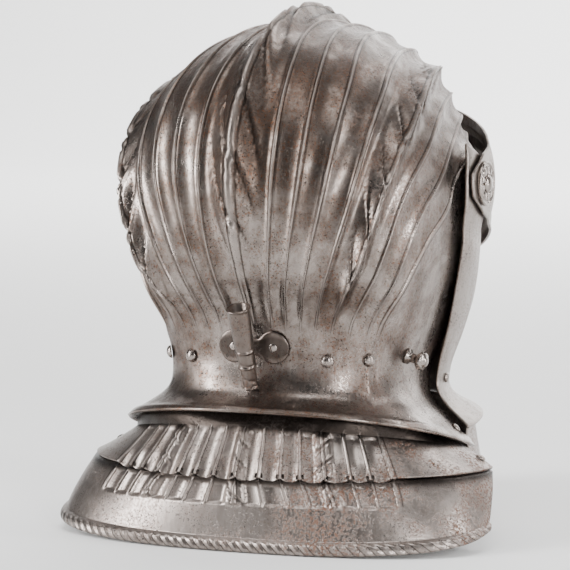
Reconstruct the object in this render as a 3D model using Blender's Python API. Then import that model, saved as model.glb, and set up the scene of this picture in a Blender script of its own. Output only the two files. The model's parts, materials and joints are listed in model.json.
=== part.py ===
"""Close helmet: fluted skull, bevor, visor and neck plates, each a thin steel sheet bent over arches.

The helmet faces -Y, the wearer's right is -X. All meshes are drawn about the hinge axis, which runs
along X through both rosettes, and an empty on that axis carries them.
"""

import math

import bmesh
import bpy
import numpy as np
from mathutils import Matrix, Vector
from mathutils.bvhtree import BVHTree

# Driving dimensions, in metres: HEIGHT is the whole helmet's, on its rims
HEIGHT = 0.316
SKULL_RISE = 0.31 * HEIGHT
GORGET_HEIGHT = 0.25 * HEIGHT
SKULL_REACH = 0.131
SKULL_HALF = 0.100
MEDIAN_COMB = 0.010
LATERAL_COMB = 0.008
HOLLOW = 0.0022
SKULL_WALL = 0.0016
FACE_WALL = 0.0015
GORGET_WALL = 0.0013
GORGET_REACH = 0.138
GORGET_HALF = 0.132
FRONT_REACH = 0.134
FRONT_HALF = 0.096
ROPE = 0.0022
GORGET_HOLLOW = 0.0014
SCALLOP = 0.0022
RIM_ROLL = 0.0026
FLOOR_CUT = 0.0005
BELLOWS = 0.0035
EDGE_TUCK = 0.0040
OVERHANG = 0.007
ARM_GAP = 0.0015
SEAT_GAP = 0.0004
TUCK_GAP = 0.0009
FLAT_RADIUS = 0.014
FLAT_STEP = 0.006
FLAT_BLEND = 0.020
CHEEK_BEND = 0.040
PIN_RADIUS = 0.003
PIN_CLEARANCE = 0.0003
ROSETTE_RADIUS = 0.0135
ROSETTE_THICKNESS = 0.0012
ROSETTE_RIM = 0.0018
HINGE_HEAD_RADIUS = 0.0055
HINGE_HEAD_HEIGHT = 0.0028
RIVET_RADIUS = 0.0040
RIVET_HEIGHT = 0.0030
SMALL_RIVET_RADIUS = 0.0030
SMALL_RIVET_HEIGHT = 0.0018
STUD_SHANK_RADIUS = 0.0030
STUD_HEAD_RADIUS = 0.0055
STUD_LENGTH = 0.0135
PIPE_LENGTH = 0.052
PIPE_MOUTH_RADIUS = 0.0068
PIPE_FOOT_RADIUS = 0.0042
PIPE_WALL = 0.0011
PIPE_LEAN = 21.0
PIPE_FOOT_DROP = 1.184 * SKULL_RISE
EAR_RADIUS = 0.0096
EAR_OFFSET = 0.0125
EAR_WAIST = 0.005
EAR_THICKNESS = 0.0012
EAR_DROP = 0.944 * SKULL_RISE
NAPE_RIVET_DROP = 1.02 * SKULL_RISE
NAPE_RIVET_ANGLES = (-48, -31, 31, 48)
FLANGE_RIVET_DROP = 1.49 * SKULL_RISE
FLANGE_RIVET_ANGLES = (-93, 93)
BEVOR_RIVET_DROP = 1.214 * SKULL_RISE
BEVOR_RIVET_ANGLES = (-111, 111)
PLATE_RIVET_DROP = 1.638 * SKULL_RISE
PLATE_RIVET_ANGLES = (-83, 83)
STUD_DROP = 1.03 * SKULL_RISE
STUD_ANGLE = 75

# The flange's rear edge, as a share of SKULL_RISE under the axis, is where the neck plates start
FLANGE_DROP = 1.31
AXIS_Z = FLANGE_DROP * SKULL_RISE + GORGET_HEIGHT
BEVOR_HALF = SKULL_HALF + ARM_GAP + FACE_WALL
VISOR_HALF = BEVOR_HALF + ARM_GAP + FACE_WALL

# Arches of the skull, brow to flange: crest y and z, side x, y and z as shares of SKULL_REACH,
# SKULL_RISE and SKULL_HALF, the arch's squareness, and the angle in degrees where it ends
SKULL = [
    (-0.77, 0.43, 0.62, -0.54, 0.08, 2.0, 90),
    (-0.65, 0.71, 0.69, -0.40, 0.01, 2.05, 91),
    (-0.33, 0.94, 0.88, -0.21, -0.06, 2.15, 93),
    (0.17, 1.01, 0.97, 0.00, -0.14, 2.15, 96),
    (0.58, 0.89, 0.99, 0.13, -0.24, 2.35, 98),
    (0.87, 0.59, 0.980, 0.18, -0.37, 2.7, 99),
    (1.01, 0.20, 0.950, 0.21, -0.51, 2.95, 99),
    (1.01, -0.18, 0.915, 0.21, -0.65, 2.95, 99),
    (0.945, -0.51, 0.868, 0.20, -0.82, 2.85, 101),
    (0.825, -0.79, 0.805, 0.19, -0.99, 2.8, 101),
    (0.785, -1.02, 0.765, 0.19, -1.165, 2.75, 101),
    (0.815, -1.21, 0.815, 0.20, -1.345, 2.55, 101),
    (0.930, -1.31, 1.05, 0.21, -1.56, 2.4, 97),
]
# Angles in degrees of ridges 1 to 8 from the median comb, at even steps from brow to flange
RIDGES = [
    (4.0, 9.0, 15.0, 23.0, 33.0, 43.0, 52.0, 60.0),
    (5.0, 11.5, 18.5, 29.0, 41.0, 51.5, 61.0, 68.5),
    (6.2, 14.2, 23.0, 35.8, 48.5, 59.5, 69.0, 76.0),
    (8.0, 17.3, 28.4, 41.3, 53.5, 65.5, 75.0, 83.0),
    (7.2, 16.2, 26.5, 38.5, 49.5, 61.5, 72.0, 80.5),
    (6.1, 12.4, 20.2, 29.5, 40.2, 52.3, 63.0, 70.5),
    (4.3, 8.9, 14.6, 21.0, 29.0, 38.0, 48.5, 54.5),
    (4.3, 8.7, 14.2, 20.4, 28.0, 36.8, 46.5, 52.0),
    (4.3, 8.7, 14.2, 20.4, 28.0, 36.8, 46.5, 52.0),
]
COMB_RIDGE = 5
LAST_RIDGE = 8
SKULL_EDGE = 9.5

# Arches of the bevor, top edge to neck flange, shares of SKULL_REACH, SKULL_RISE and BEVOR_HALF
BEVOR = [
    (-0.940, -0.40, 1.000, 0.030, 0.194, 1.50, 100),
    (-0.925, -0.60, 1.000, 0.045, -0.040, 1.55, 101),
    (-0.880, -0.81, 0.990, 0.060, -0.306, 1.65, 98),
    (-0.800, -0.99, 0.945, 0.060, -0.570, 1.80, 96.5),
    (-0.700, -1.12, 0.875, 0.045, -0.857, 1.85, 95.5),
    (-0.610, -1.235, 0.785, 0.000, -1.143, 1.90, 96),
    (-0.620, -1.335, 0.795, 0.000, -1.310, 1.95, 96),
    (-0.770, -1.410, 0.975, 0.015, -1.490, 2.00, 94),
]
# Arches of the visor, brow to lower edge, shares of SKULL_REACH, SKULL_RISE and VISOR_HALF
VISOR = [
    (-0.870, 0.510, 1.0, 0.000, 0.184, 1.60, 90),
    (-0.945, 0.327, 1.0, 0.008, 0.110, 1.60, 101),
    (-1.020, 0.080, 1.0, 0.015, 0.030, 1.62, 101),
    (-1.080, -0.180, 1.0, 0.015, -0.050, 1.62, 100),
    (-1.065, -0.430, 1.0, 0.008, -0.120, 1.62, 99),
    (-0.990, -0.640, 1.0, 0.000, -0.184, 1.65, 90),
]
VISOR_FOLDS = 6

# A neck plate starts under the edge of the plate above it: its first LAP of its length follows the
# other's inner side between these shares, and the rows give the rest
LAP = 0.2
LAP_START = 0.93
LAP_END = 0.985
# Arches of the neck plates, top to bottom: shares of each plate's reach and half width, and of
# GORGET_HEIGHT below the flange's rear edge
REAR_UPPER = [
    (0.845, 0.110, 0.790, 0.200, 0.345, 1.95),
    (0.905, 0.290, 0.875, 0.250, 0.400, 1.95),
    (0.964, 0.450, 0.955, 0.304, 0.457, 1.95),
]
REAR_LOWER = [
    (0.958, 0.480, 0.958, 0.315, 0.485, 1.95),
    (0.970, 0.620, 0.982, 0.380, 0.610, 2.15),
    (0.984, 0.810, 1.003, 0.465, 0.755, 2.35),
    (1.000, 1.000, 1.011, 0.530, 0.880, 2.5),
]
FRONT_UPPER = [
    (-0.820, 0.200, 0.985, 0.030, 0.310, 1.95),
    (-0.875, 0.360, 1.010, 0.060, 0.420, 1.9),
    (-0.930, 0.520, 1.030, 0.090, 0.530, 1.9),
]
FRONT_LOWER = [
    (-0.935, 0.550, 1.033, 0.100, 0.560, 1.9),
    (-0.970, 0.780, 1.040, 0.140, 0.760, 1.95),
    (-1.000, 1.000, 1.040, 0.160, 0.940, 2.0),
]
FRONT_SPAN = 0.96
BORDER = 0.5
ROLL_CENTRE = 0.93
ROLL_HALF = 0.07
# Angles in degrees of a neck plate's ridges 1 to 7; ridge 4 is a rope, ridge 7 ends the flutes
GORGET_RIDGES = (6.9, 12.9, 18.3, 25.2, 32.4, 38.0, 44.3)
GORGET_ROPE = 4
GORGET_EDGE = 10.0

STEEL = (0.40, 0.385, 0.37)
DARK_STEEL = (0.30, 0.285, 0.27)
BRIGHT_STEEL = (0.52, 0.50, 0.475)


def smooth(low, high, value):
    """Rises from 0 at low to 1 at high."""
    f = min(max((value - low) / (high - low), 0.0), 1.0)
    return f * f * (3 - 2 * f)


def row(table, share):
    """The table's row at a share of its length, on a smooth curve through its rows."""
    last = len(table) - 1
    place = min(max(share, 0.0), 1.0) * last
    i = min(int(place), last - 1)
    f = place - i
    b, c = np.array(table[i], float), np.array(table[i + 1], float)
    a = np.array(table[i - 1], float) if i > 0 else 2 * b - c
    d = np.array(table[i + 2], float) if i + 2 <= last else 2 * c - b
    return 0.5 * (2 * b + (c - a) * f + (2 * a - 5 * b + 4 * c - d) * f**2 + (3 * b - a - 3 * c + d) * f**3)


def arch(crest, side, squareness, degrees):
    """A point of a superellipse arch, on its crest at 0 degrees and widest at 90."""
    angle = math.radians(abs(degrees))
    power = 2.0 / squareness
    across = abs(math.sin(angle)) ** power
    along = math.copysign(abs(math.cos(angle)) ** power, math.cos(angle))
    return np.array([
        math.copysign(side[0] * across, degrees),
        side[1] + (crest[0] - side[1]) * along,
        side[2] + (crest[1] - side[2]) * along,
    ])


def cheeked(point, plane, layer):
    """Round the hinge axis the sheet is a turned form, flat in the middle and bent in further out, so that
    the arms turn on each other. An outer layer keeps that form further out."""
    away = math.hypot(point[1], point[2])
    start = FLAT_RADIUS + layer * FLAT_STEP
    cheek = 1.0 - smooth(start, start + FLAT_BLEND, away)
    bent = plane - max(away - FLAT_RADIUS, 0.0) ** 2 / (2 * CHEEK_BEND)
    point[0] += (math.copysign(bent, point[0]) - point[0]) * cheek
    return point


def skull_angle(share, column, end):
    """The arch angle of a flute column: whole columns are ridges, 0 is the median comb."""
    ridges = [0.0, *row(RIDGES, share)]
    c = abs(column)
    i = min(int(c), LAST_RIDGE)
    if i == LAST_RIDGE:
        angle = ridges[i] + (end - ridges[i]) * (c - i) / (SKULL_EDGE - i)
    else:
        angle = ridges[i] + (ridges[i + 1] - ridges[i]) * (c - i)
    return math.copysign(angle, column)


def skull_arch(share, degrees):
    """A point of the skull's arch, for an angle or for a share of the arch's own end angle."""
    crest_y, crest_z, side_x, side_y, side_z, squareness, _ = row(SKULL, share)
    crest = (crest_y * SKULL_REACH, crest_z * SKULL_RISE)
    side = (side_x * SKULL_HALF, side_y * SKULL_REACH, side_z * SKULL_RISE)
    return arch(crest, side, squareness, degrees)


def skull_base(share, column):
    point = skull_arch(share, skull_angle(share, column, row(SKULL, share)[-1]))
    return cheeked(point, SKULL_HALF, 0) if abs(column) > COMB_RIDGE else point


def skull_relief(share, column):
    """Height of the combs and depth of the hollows between ridges."""
    c = abs(column)
    fade = smooth(0.0, 0.09, share) * (1 - smooth(0.71, 0.78, share))
    f = c - int(c)
    relief = -HOLLOW * 4 * f * (1 - f) * fade if c < LAST_RIDGE else 0.0
    median = max(1 - c / 0.85, 0.0) ** 1.6
    relief += MEDIAN_COMB * median * smooth(0.03, 0.25, share) * (1 - smooth(0.50, 0.70, share))
    lateral = max(1 - abs(c - COMB_RIDGE) / 0.7, 0.0) ** 1.6
    relief += LATERAL_COMB * lateral * smooth(0.10, 0.26, share) * (1 - smooth(0.62, 0.76, share))
    tuck = EDGE_TUCK * smooth(LAST_RIDGE - 0.5, LAST_RIDGE + 0.7, c) * smooth(0.16, 0.30, share)
    return relief - tuck * (1 - smooth(0.85, 0.95, share))


def skull_point(share, column):
    """The base surface moved along its normal by the relief."""
    point = skull_base(share, column)
    step = 0.002
    along = skull_base(min(share + step, 1.0), column) - skull_base(max(share - step, 0.0), column)
    across = skull_base(share, column - step) - skull_base(share, column + step)
    normal = np.cross(along, across)
    return point + normal / np.linalg.norm(normal) * skull_relief(share, column)


def bevor_point(share, column):
    crest_y, crest_z, side_x, side_y, side_z, squareness, end = row(BEVOR, share)
    crest = (crest_y * SKULL_REACH, crest_z * SKULL_RISE)
    side = (side_x * BEVOR_HALF, side_y * SKULL_REACH, side_z * SKULL_RISE)
    return cheeked(arch(crest, side, squareness, column * end), BEVOR_HALF, 1)


def visor_point(share, column):
    """Horizontal folds run round the front and die out towards the arms."""
    crest_y, crest_z, side_x, side_y, side_z, squareness, end = row(VISOR, share)
    fold = abs(2 * ((share * VISOR_FOLDS) % 1) - 1)
    fold *= BELLOWS * smooth(0.0, 0.35, math.cos(math.radians(column * end)))
    crest = (crest_y * SKULL_REACH - fold, crest_z * SKULL_RISE)
    side = (side_x * VISOR_HALF, side_y * SKULL_REACH, side_z * SKULL_RISE)
    return cheeked(arch(crest, side, squareness, column * end), VISOR_HALF, 2)


def gorget_angle(column):
    c = abs(column)
    stops = (0.0,) + GORGET_RIDGES
    i = min(int(c), len(stops) - 1)
    if i == len(stops) - 1:
        angle = stops[i] + (90.0 - stops[i]) * (c - i) / (GORGET_EDGE - i)
    else:
        angle = stops[i] + (stops[i + 1] - stops[i]) * (c - i)
    return math.copysign(angle, column)


def under(host, share, column, depth):
    """The point at a depth under the host's outer side."""
    step = 0.004
    point = host(share, column)
    along = host(min(share + step, 1.0), column) - host(share - step, column)
    across = host(share, column + step) - host(share, column - step)
    normal = np.cross(along, across)
    normal /= np.linalg.norm(normal)
    return point - normal * math.copysign(depth, normal[:2].dot(point[:2]))


def lapped(host, share, column, wall, drape):
    """The stretch of a neck plate that lies under the plate above it."""
    f = share / LAP
    return under(host, LAP_START + (LAP_END - LAP_START) * f, column, wall + TUCK_GAP + drape * f)


def neck_arch(table, reach, half, share, degrees):
    crest_y, crest_z, side_x, side_y, side_z, squareness = row(table, (share - LAP) / (1 - LAP))
    top = -FLANGE_DROP * SKULL_RISE
    crest = (crest_y * reach, top - crest_z * GORGET_HEIGHT)
    side = (side_x * half, side_y * reach, top - side_z * GORGET_HEIGHT)
    return arch(crest, side, squareness, degrees)


def neck_relief(column, fade):
    """Ropes on the median line and on ridge 4, hollows between the ridges, plain beyond the last."""
    c = abs(column)
    f = c - int(c)
    relief = -GORGET_HOLLOW * 4 * f * (1 - f) * fade if c < len(GORGET_RIDGES) else 0.0
    for rope in (0, GORGET_ROPE):
        relief += ROPE * max(1 - abs(c - rope) / 0.45, 0.0) ** 0.7 * fade
    return relief


def rolled(point, share, relief=0.0):
    """The point moved away from the neck by a relief and, near the rim, by the rolled edge."""
    bulge = math.sqrt(max(1 - ((share - ROLL_CENTRE) / ROLL_HALF) ** 2, 0.0))
    away = np.array([point[0], point[1], 0.0])
    point = point + away / np.linalg.norm(away) * (relief + RIM_ROLL * bulge)
    return point - np.array([0.0, 0.0, FLOOR_CUT * smooth(BORDER, 1.0, share)])


def flange(share, column):
    return skull_arch(share, gorget_angle(column))


def rear_upper(share, column):
    if share <= LAP:
        overhang = OVERHANG * max(math.cos(math.radians(gorget_angle(column))) ** 2, 0.25)
        return lapped(flange, share, column, SKULL_WALL, overhang)
    f = abs(column) - int(abs(column))
    point = neck_arch(REAR_UPPER, GORGET_REACH, GORGET_HALF, share, gorget_angle(column))
    if abs(column) < len(GORGET_RIDGES):
        point[2] -= SCALLOP * 4 * f * (1 - f) * smooth(0.7, 1.0, share)
    return rolled(point, 0.0, neck_relief(column, 1.0))


def rear_lower(share, column):
    if share <= LAP:
        return lapped(rear_upper, share, column, GORGET_WALL, 0.0)
    point = neck_arch(REAR_LOWER, GORGET_REACH, GORGET_HALF, share, gorget_angle(column))
    return rolled(point, share, neck_relief(column, 1 - smooth(BORDER, BORDER + 0.06, share)))


def front_upper(share, column):
    if share <= LAP:
        return lapped(bevor_point, share, FRONT_SPAN * column, FACE_WALL, 0.0)
    return neck_arch(FRONT_UPPER, FRONT_REACH, FRONT_HALF, share, 90.0 * FRONT_SPAN * column)


def front_lower(share, column):
    if share <= LAP:
        return lapped(front_upper, share, column, GORGET_WALL, 0.0)
    return rolled(neck_arch(FRONT_LOWER, FRONT_REACH, FRONT_HALF, share, 90.0 * FRONT_SPAN * column), share)


def mirrored(half):
    """Columns on both sides of the median plane from those on one side."""
    return sorted({-c for c in half} | set(half))


def steel(name, colour, roughness):
    material = bpy.data.materials.new(name)
    material.use_nodes = True
    surface = material.node_tree.nodes["Principled BSDF"]
    surface.inputs["Base Color"].default_value = (*colour, 1.0)
    surface.inputs["Metallic"].default_value = 1.0
    surface.inputs["Roughness"].default_value = roughness
    return material


def add(name, bm, colour=STEEL, roughness=0.4, angle=35.0):
    """An object from a bmesh, carried by the empty on the hinge axis."""
    bmesh.ops.recalc_face_normals(bm, faces=bm.faces)
    mesh = bpy.data.meshes.new(name)
    bm.to_mesh(mesh)
    bm.free()
    mesh.shade_smooth()
    mesh.set_sharp_from_angle(angle=math.radians(angle))
    mesh.materials.append(steel(name, colour, roughness))
    part = bpy.data.objects.new(name, mesh)
    part.parent = axis
    bpy.context.collection.objects.link(part)
    return part


def sheet(name, place, shares, columns, wall, colour=STEEL, gaps=()):
    """A plate whose outer side is place(share, column), with its wall behind it; gaps are open cells."""
    bm = bmesh.new()
    across, along = len(columns) - 1, len(shares) - 1
    bmesh.ops.create_grid(bm, x_segments=across, y_segments=along, size=1.0)
    cells = {}
    for face in bm.faces:
        centre = face.calc_center_median()
        cells[int((centre.x + 1) / 2 * across), int((centre.y + 1) / 2 * along)] = face
    for vert in bm.verts:
        i = round((vert.co.y + 1) / 2 * along)
        j = round((vert.co.x + 1) / 2 * across)
        vert.co = place(shares[i], columns[j])
    opened = [cells[cell] for cell in gaps]
    bmesh.ops.delete(bm, geom=opened, context="FACES")
    bm.normal_update()
    middle = min(bm.faces, key=lambda face: abs(face.calc_center_median().x))
    centre = middle.calc_center_median()
    if middle.normal.dot(Vector((0.0, centre.y, centre.z + 2 * wall))) < 0:
        bmesh.ops.reverse_faces(bm, faces=bm.faces)
    mesh = bpy.data.meshes.new(name)
    bm.to_mesh(mesh)
    bm.free()
    mesh.shade_smooth()
    mesh.materials.append(steel(name, colour, 0.38))
    part = bpy.data.objects.new(name, mesh)
    part.parent = axis
    bpy.context.collection.objects.link(part)
    solid = part.modifiers.new("wall", "SOLIDIFY")
    solid.thickness = wall
    solid.offset = -1.0
    return part


def turned(profile, sides, ring=False):
    """A solid of revolution about Z from its half profile of radius and height pairs."""
    bm = bmesh.new()
    verts = [bm.verts.new((r, 0.0, z)) for r, z in profile]
    edges = [bm.edges.new(pair) for pair in zip(verts, verts[1:])]
    if ring:
        edges.append(bm.edges.new((verts[-1], verts[0])))
    bmesh.ops.spin(bm, geom=verts + edges, cent=(0, 0, 0), axis=(0, 0, 1), dvec=(0, 0, 0),
                   angle=2 * math.pi, steps=sides, use_merge=True)
    bmesh.ops.remove_doubles(bm, verts=bm.verts, dist=1e-6)
    return bm


def bulge(radius, height, start, rings=2):
    """Profile points of a dome, rim first, without its top."""
    return [(radius * math.cos(a), start + height * math.sin(a))
            for a in (math.pi / 2 * k / (rings + 1) for k in range(rings + 1))]


def place_along(part, point, direction):
    """Turns the part's Z to the direction and moves its origin to the point, given from the axis."""
    part.matrix_local = Matrix.Translation(point) @ Vector(direction).to_track_quat("Z", "Y").to_matrix().to_4x4()


def surface_at(host, start, direction):
    """The first point and normal of the host's outer face met from start."""
    bpy.context.view_layer.update()
    tree = BVHTree.FromObject(host, bpy.context.evaluated_depsgraph_get())
    point, normal, _, _ = tree.ray_cast(Vector(start), Vector(direction).normalized())
    return point, normal


def around(degrees, drop):
    """A start point outside the helmet and its level direction to the neck's centre line."""
    a = math.radians(degrees)
    centre = Vector((0.0, SKULL[9][3] * SKULL_REACH, -drop))
    away = Vector((-math.sin(a), math.cos(a), 0.0))
    return centre + away * 2 * GORGET_REACH, -away


def rivets(name, host, angles, drop, radius=RIVET_RADIUS, height=RIVET_HEIGHT):
    """Domed rivet heads on the host, by angle round the neck from the nape and drop below the axis."""
    for number, degrees in enumerate(angles, 1):
        point, normal = surface_at(host, *around(degrees, drop))
        part = add(f"{name}_{number}", turned([(0.0, 0.0), *bulge(radius, height, 0.0), (0.0, height)], 10),
                   BRIGHT_STEEL, 0.3)
        place_along(part, point + normal * SEAT_GAP, normal)


def cut(part, cutter):
    """Takes the cutter's shape out of the part."""
    modifier = part.modifiers.new(cutter.name, "BOOLEAN")
    modifier.object = cutter
    modifier.solver = "EXACT"


def as_cutter(name, bm):
    cutter = add(name, bm)
    cutter.hide_render = True
    cutter.display_type = "WIRE"
    return cutter


for old in list(bpy.data.objects):
    bpy.data.objects.remove(old, do_unlink=True)

axis = bpy.data.objects.new("hinge_axis", None)
axis.location = (0.0, 0.0, AXIS_Z)
bpy.context.collection.objects.link(axis)

# Skull
skull_columns = mirrored([0, 0.25, 0.55, 1, 1.5, 2, 2.5, 3, 3.5, 4, 4.5, 4.8, 5, 5.2, 5.5, 6, 6.5, 7, 7.5, 8,
                          8.4, 8.8, 9.15, SKULL_EDGE])
skull_shares = [k / 19 for k in range(20)]
skull = sheet("skull", skull_point, skull_shares, skull_columns, SKULL_WALL)

# Bevor and visor
arm_columns = mirrored([k / 14 for k in range(15)])
bevor = sheet("bevor", bevor_point, [0, 0.1, 0.22, 0.36, 0.5, 0.62, 0.74, 0.84, 0.92, 1.0], arm_columns, FACE_WALL)
fold_shares = [k / (2 * VISOR_FOLDS) for k in range(2 * VISOR_FOLDS + 1)]
middle = len(arm_columns) // 2
sights = [(middle + side * k - (side < 0), 2) for side in (-1, 1) for k in range(1, 4)]
breaths = [(middle + side * k - (side < 0), r) for side in (-1, 1) for k in (1, 3, 5) for r in (6, 8)]
visor = sheet("visor", visor_point, fold_shares, arm_columns, FACE_WALL, STEEL, sights + breaths)

# Hinge pins, each through the arms and a rosette, and the bore that lets them through
bore_radius = PIN_RADIUS + PIN_CLEARANCE
bore_end = 1.2 * VISOR_HALF
bore_profile = [(0.0, -bore_end), (bore_radius, -bore_end), (bore_radius, bore_end), (0.0, bore_end)]
bore = as_cutter("hinge_bore", turned(bore_profile, 16))
place_along(bore, (0.0, 0.0, 0.0), (1.0, 0.0, 0.0))
cut(bevor, bore)
cut(visor, bore)
pin_start = SEAT_GAP + max(
    abs(surface_at(skull, (side * 2 * SKULL_HALF, y, z), (-side, 0.0, 0.0))[0].x)
    for side in (-1, 1) for y in (-PIN_RADIUS, 0.0, PIN_RADIUS) for z in (-PIN_RADIUS, 0.0, PIN_RADIUS))
rosette_start = VISOR_HALF + SEAT_GAP
head_start = rosette_start + ROSETTE_THICKNESS + SEAT_GAP - pin_start
rosette_profile = [
    (bore_radius, 0.0),
    (ROSETTE_RADIUS, 0.0),
    (ROSETTE_RADIUS, ROSETTE_THICKNESS),
    (ROSETTE_RADIUS - ROSETTE_RIM / 2, ROSETTE_THICKNESS + ROSETTE_RIM / 2),
    (ROSETTE_RADIUS - ROSETTE_RIM, ROSETTE_THICKNESS),
    (bore_radius, ROSETTE_THICKNESS),
]
pin_profile = [
    (0.0, 0.0),
    (PIN_RADIUS, 0.0),
    (PIN_RADIUS, head_start),
    *bulge(HINGE_HEAD_RADIUS, HINGE_HEAD_HEIGHT, head_start),
    (0.0, head_start + HINGE_HEAD_HEIGHT),
]
for side, hand in ((-1, "right"), (1, "left")):
    rosette = add(f"rosette_{hand}", turned(rosette_profile, 18, ring=True), BRIGHT_STEEL, 0.3)
    place_along(rosette, (side * rosette_start, 0.0, 0.0), (side, 0.0, 0.0))
    pin = add(f"hinge_pin_{hand}", turned(pin_profile, 12), BRIGHT_STEEL, 0.3)
    place_along(pin, (side * pin_start, 0.0, 0.0), (side, 0.0, 0.0))

# Neck plates
flute_columns = mirrored([0, 0.25, 0.45, 1, 1.5, 2, 2.5, 3, 3.55, 3.8, 4, 4.2, 4.45, 5, 5.5, 6, 6.5, 7, 7.75, 8.5,
                          9.25, GORGET_EDGE])
plain_columns = mirrored([k / 11 for k in range(12)])
upper_shares = [0, LAP, 0.45, 0.75, 1.0]
lower_shares = [0, LAP, BORDER, BORDER + 0.06, 0.87, ROLL_CENTRE, 1.0]
rear_gorget_upper = sheet("rear_gorget_upper", rear_upper, upper_shares, flute_columns, GORGET_WALL)
rear_gorget_lower = sheet("rear_gorget_lower", rear_lower, lower_shares, flute_columns, GORGET_WALL)
front_gorget_upper = sheet("front_gorget_upper", front_upper, upper_shares, plain_columns, GORGET_WALL)
front_gorget_lower = sheet("front_gorget_lower", front_lower, lower_shares, plain_columns, GORGET_WALL)

# The rims stand flat on the floor
floor_block = bmesh.new()
bmesh.ops.create_cube(floor_block, size=4 * GORGET_REACH)
bmesh.ops.translate(floor_block, verts=floor_block.verts, vec=(0.0, 0.0, -2 * GORGET_REACH - AXIS_Z))
floor_cutter = as_cutter("floor_cutter", floor_block)
cut(rear_gorget_lower, floor_cutter)
cut(front_gorget_lower, floor_cutter)

# Rivets
small = (SMALL_RIVET_RADIUS, SMALL_RIVET_HEIGHT)
rivets("nape_rivet", skull, NAPE_RIVET_ANGLES, NAPE_RIVET_DROP)
rivets("flange_rivet", skull, FLANGE_RIVET_ANGLES, FLANGE_RIVET_DROP, *small)
rivets("bevor_rivet", bevor, BEVOR_RIVET_ANGLES, BEVOR_RIVET_DROP, *small)
rivets("plate_rivet", rear_gorget_upper, PLATE_RIVET_ANGLES, PLATE_RIVET_DROP, *small)

# Stud with its knob, on the right side of the neck
stud_profile = [
    (0.0, 0.0),
    (STUD_SHANK_RADIUS, 0.0),
    (STUD_SHANK_RADIUS, STUD_LENGTH * 0.5),
    (STUD_HEAD_RADIUS, STUD_LENGTH * 0.65),
    *bulge(STUD_HEAD_RADIUS, STUD_LENGTH * 0.2, STUD_LENGTH * 0.8),
    (0.0, STUD_LENGTH),
]
stud_point, stud_normal = surface_at(skull, *around(STUD_ANGLE, STUD_DROP))
stud = add("stud", turned(stud_profile, 12), BRIGHT_STEEL, 0.3)
place_along(stud, stud_point + stud_normal * SEAT_GAP, stud_normal)


def ear(share, column):
    """A point of the ear plate, on the nape: column is the place across, from -1 to 1."""
    x = column * (EAR_OFFSET + EAR_RADIUS)
    rise = math.sqrt(max(EAR_RADIUS**2 - (abs(x) - EAR_OFFSET) ** 2, 0.0))
    if abs(x) < EAR_OFFSET:
        rise = max(rise, EAR_WAIST)
    start = (x, 2 * GORGET_REACH, -EAR_DROP + max(rise, EAR_RADIUS / 4) * (1 - 2 * share))
    point, _ = surface_at(skull, start, (0.0, -1.0, 0.0))
    return point + Vector((0.0, EAR_THICKNESS + 2 * SEAT_GAP, 0.0))


# Plume pipe on its ear plate
ear_columns = mirrored([0, 0.2, 0.34, 0.5, 0.66, 0.8, 0.92, 1.0])
ear_plate = sheet("ear_plate", ear, [0, 0.3, 0.7, 1.0], ear_columns, EAR_THICKNESS)
pipe_profile = [
    (PIPE_FOOT_RADIUS - PIPE_WALL, 0.0),
    (PIPE_FOOT_RADIUS, 0.0),
    (PIPE_MOUTH_RADIUS, PIPE_LENGTH),
    (PIPE_MOUTH_RADIUS - PIPE_WALL, PIPE_LENGTH),
]
pipe = add("plume_pipe", turned(pipe_profile, 14, ring=True), DARK_STEEL, 0.45)
lean = math.radians(PIPE_LEAN)
seat, _ = surface_at(skull, *around(0, PIPE_FOOT_DROP - PIPE_FOOT_RADIUS * math.sin(lean)))
foot = Vector((0.0, seat.y + PIPE_FOOT_RADIUS * math.cos(lean) + SEAT_GAP, -PIPE_FOOT_DROP))
place_along(pipe, foot, (0.0, math.sin(lean), math.cos(lean)))
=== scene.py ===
"""Close helmet of fluted steel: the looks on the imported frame. Metres, +Z up, the helmet faces -Y."""

import functools
import json
import math

import bmesh
import bpy
from mathutils import Matrix, Vector
from mathutils.bvhtree import BVHTree


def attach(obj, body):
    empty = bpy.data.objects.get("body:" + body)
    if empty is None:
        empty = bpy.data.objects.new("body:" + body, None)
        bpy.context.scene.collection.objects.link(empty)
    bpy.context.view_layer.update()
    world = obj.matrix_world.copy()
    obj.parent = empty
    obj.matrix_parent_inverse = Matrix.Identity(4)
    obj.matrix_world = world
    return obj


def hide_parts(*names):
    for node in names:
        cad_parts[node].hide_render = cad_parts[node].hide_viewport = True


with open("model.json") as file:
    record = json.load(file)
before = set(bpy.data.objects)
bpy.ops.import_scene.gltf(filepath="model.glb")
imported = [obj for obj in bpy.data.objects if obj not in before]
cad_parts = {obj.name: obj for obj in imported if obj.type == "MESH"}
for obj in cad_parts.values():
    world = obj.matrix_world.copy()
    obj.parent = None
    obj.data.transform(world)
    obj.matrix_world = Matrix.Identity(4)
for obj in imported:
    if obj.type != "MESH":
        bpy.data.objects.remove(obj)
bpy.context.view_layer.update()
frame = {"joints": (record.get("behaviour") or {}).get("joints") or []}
AXIS_Z = frame["joints"][0]["pos_m"][2]

# Room: a pale floor that curves up far behind the helmet, the camera behind the wearer's right
# shoulder, and soft boxes that give the steel long bright streaks with quiet steel between them.
PICTURE = 570
AXIS_AT = (321, 180)
CAMERA_DISTANCE = 1.8
CAMERA_TURN = math.radians(22)
CAMERA_RISE = math.radians(3)
CAMERA_SIGHT = 20.0
METRES_PER_PIXEL = 0.615e-3
SENSOR = 36.0
AIR_COLOUR = (0.92, 0.93, 0.95, 1.0)
AIR_STRENGTH = 0.13
FLOOR_REACH = 8.0
FLOOR_STRIPS = 64
FLOOR_DROP = 0.0002
BEND_START = 4.0
BEND_RADIUS = 1.2
FLOOR_COLOUR = (0.87, 0.87, 0.865, 1.0)
FLOOR_ROUGHNESS = 0.7
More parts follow.
